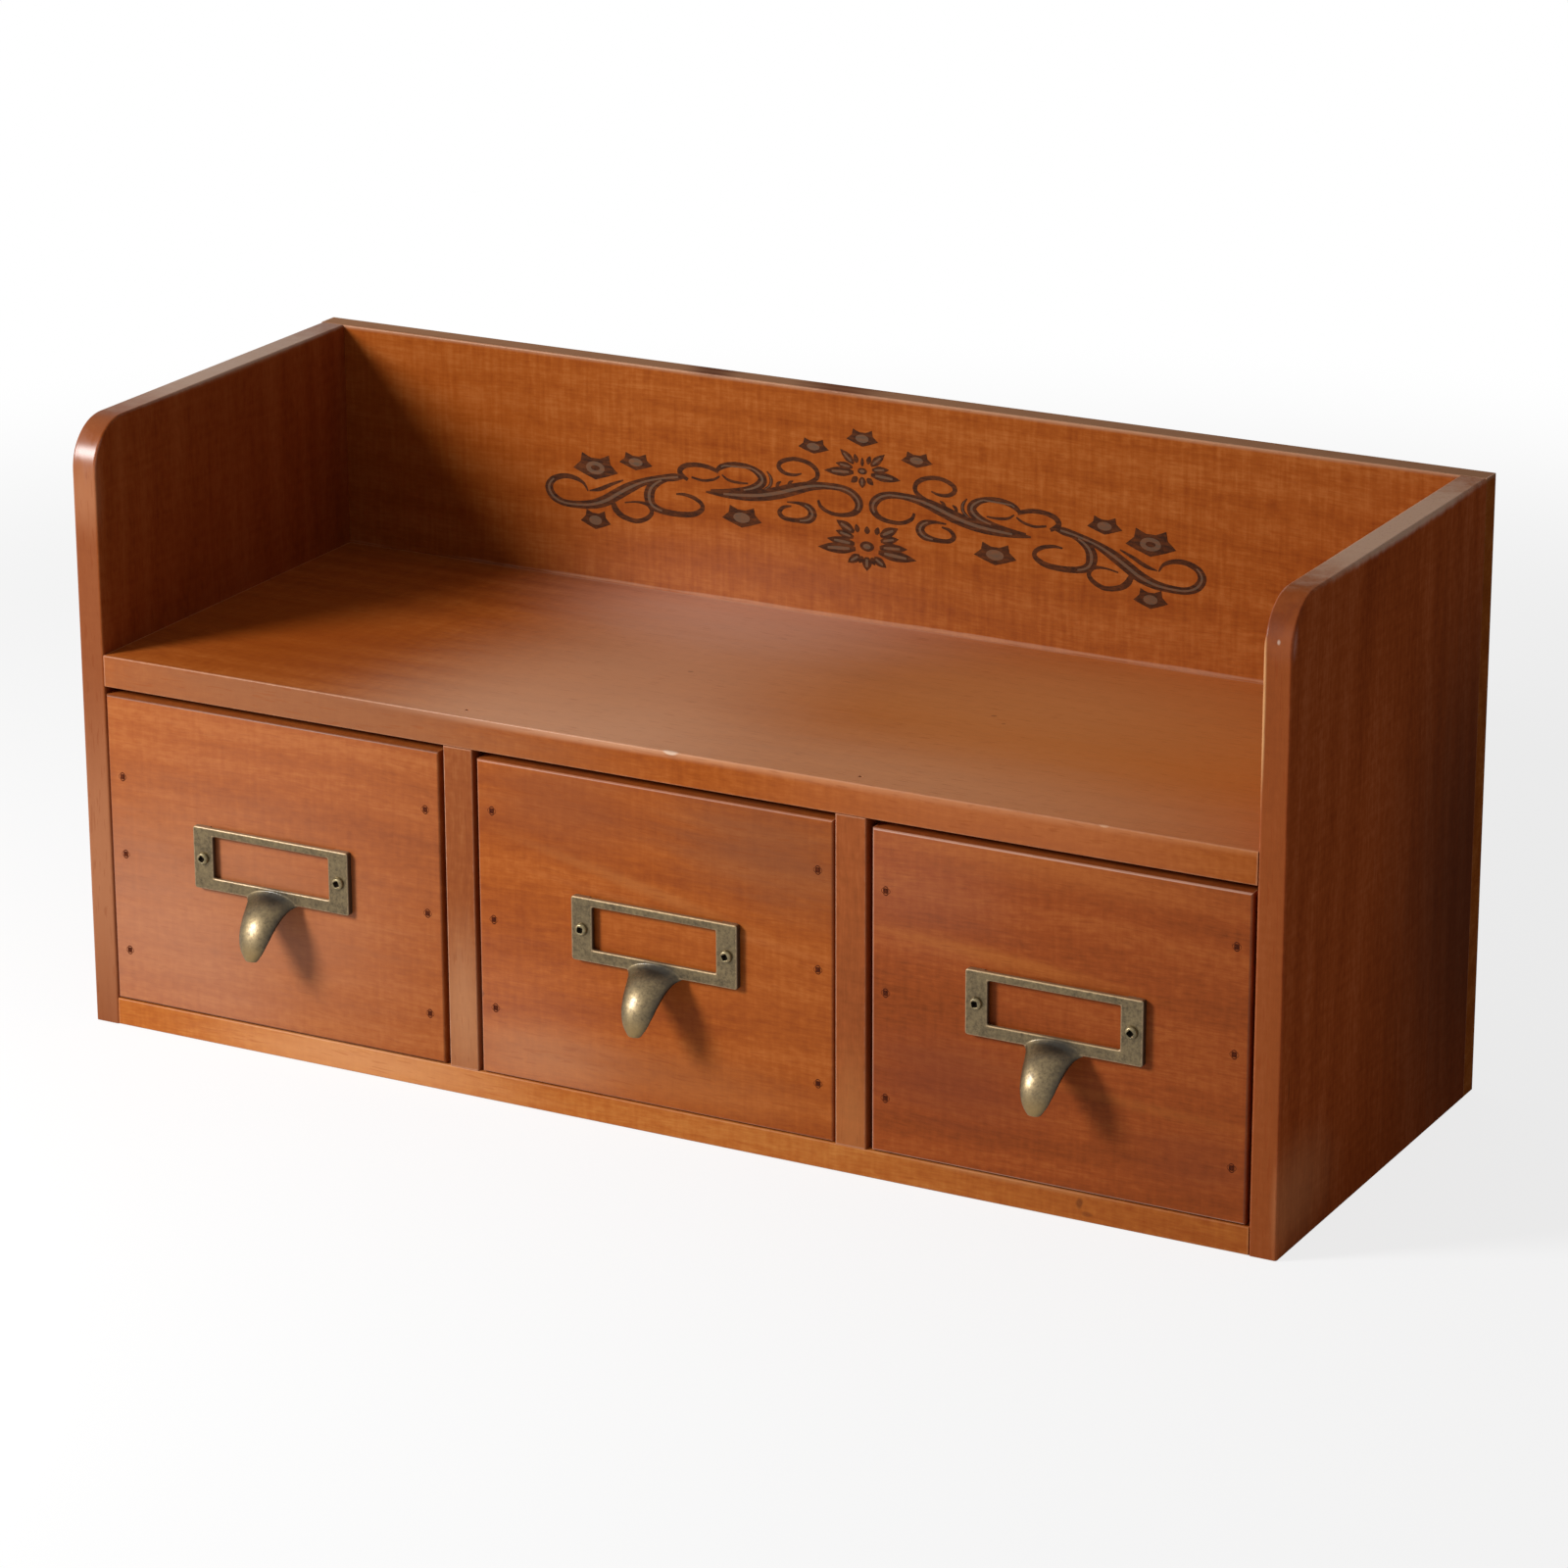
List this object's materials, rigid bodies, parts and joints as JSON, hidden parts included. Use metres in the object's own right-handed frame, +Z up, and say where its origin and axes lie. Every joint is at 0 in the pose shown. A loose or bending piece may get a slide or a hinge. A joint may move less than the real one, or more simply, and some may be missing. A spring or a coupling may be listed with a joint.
{
  "type": "desktop drawer organizer",
  "caption": "Wooden desktop organizer: an open shelf with raised sides and back over a row of sliding drawers with brass label pulls.",
  "frame": {"origin": "middle of the case's underside, without the label pulls, on the surface it stands on", "axes": "+X to the right seen from the front, +Y to the back, +Z up; the drawers pull out along -Y"},
  "size_m": [0.42, 0.1699, 0.202],
  "materials": {
    "side_wood": "stained red-brown, satin",
    "back_wood": "stained red-brown, satin, printed ornament",
    "shelf_wood": "stained red-brown, satin",
    "bottom_wood": "stained red-brown, satin",
    "divider_wood": "stained red-brown, satin",
    "left_front_wood": "stained red-brown, satin",
    "middle_front_wood": "stained red-brown, satin",
    "right_front_wood": "stained red-brown, satin",
    "drawer_wood": "bare, planed",
    "plywood": "bare, sanded",
    "dowel_wood": "bare beech",
    "steel_brads": "dull",
    "antique_brass": "antique, worn edges",
    "brass_screws": "antique"
  },
  "bodies": {
    "case": {"left_side_panel": "side_wood", "right_side_panel": "side_wood", "back_panel": "back_wood", "shelf_board": "shelf_wood", "bottom_board": "bottom_wood", "left_divider": "divider_wood", "right_divider": "divider_wood", "shelf_dowels": "dowel_wood", "bottom_board_dowels": "dowel_wood", "shelf_brads": "steel_brads", "bottom_board_brads": "steel_brads", "back_panel_brads": "steel_brads"},
    "left_drawer": {"left_drawer_front": "left_front_wood", "left_drawer_left_side": "drawer_wood", "left_drawer_right_side": "drawer_wood", "left_drawer_back": "drawer_wood", "left_drawer_bottom": "plywood", "left_drawer_front_brads": "steel_brads", "left_drawer_back_brads": "steel_brads", "left_drawer_label_pull": "antique_brass", "left_drawer_pull_screws": "brass_screws"},
    "middle_drawer": {"middle_drawer_front": "middle_front_wood", "middle_drawer_left_side": "drawer_wood", "middle_drawer_right_side": "drawer_wood", "middle_drawer_back": "drawer_wood", "middle_drawer_bottom": "plywood", "middle_drawer_front_brads": "steel_brads", "middle_drawer_back_brads": "steel_brads", "middle_drawer_label_pull": "antique_brass", "middle_drawer_pull_screws": "brass_screws"},
    "right_drawer": {"right_drawer_front": "right_front_wood", "right_drawer_left_side": "drawer_wood", "right_drawer_right_side": "drawer_wood", "right_drawer_back": "drawer_wood", "right_drawer_bottom": "plywood", "right_drawer_front_brads": "steel_brads", "right_drawer_back_brads": "steel_brads", "right_drawer_label_pull": "antique_brass", "right_drawer_pull_screws": "brass_screws"}
  },
  "joints": [
    {"name": "left_drawer_slide", "type": "slide", "parent": "case", "child": "left_drawer", "axis": [0, -1, 0], "range_m": [0, 0.12]},
    {"name": "middle_drawer_slide", "type": "slide", "parent": "case", "child": "middle_drawer", "axis": [0, -1, 0], "range_m": [0, 0.12]},
    {"name": "right_drawer_slide", "type": "slide", "parent": "case", "child": "right_drawer", "axis": [0, -1, 0], "range_m": [0, 0.12]}
  ]
}
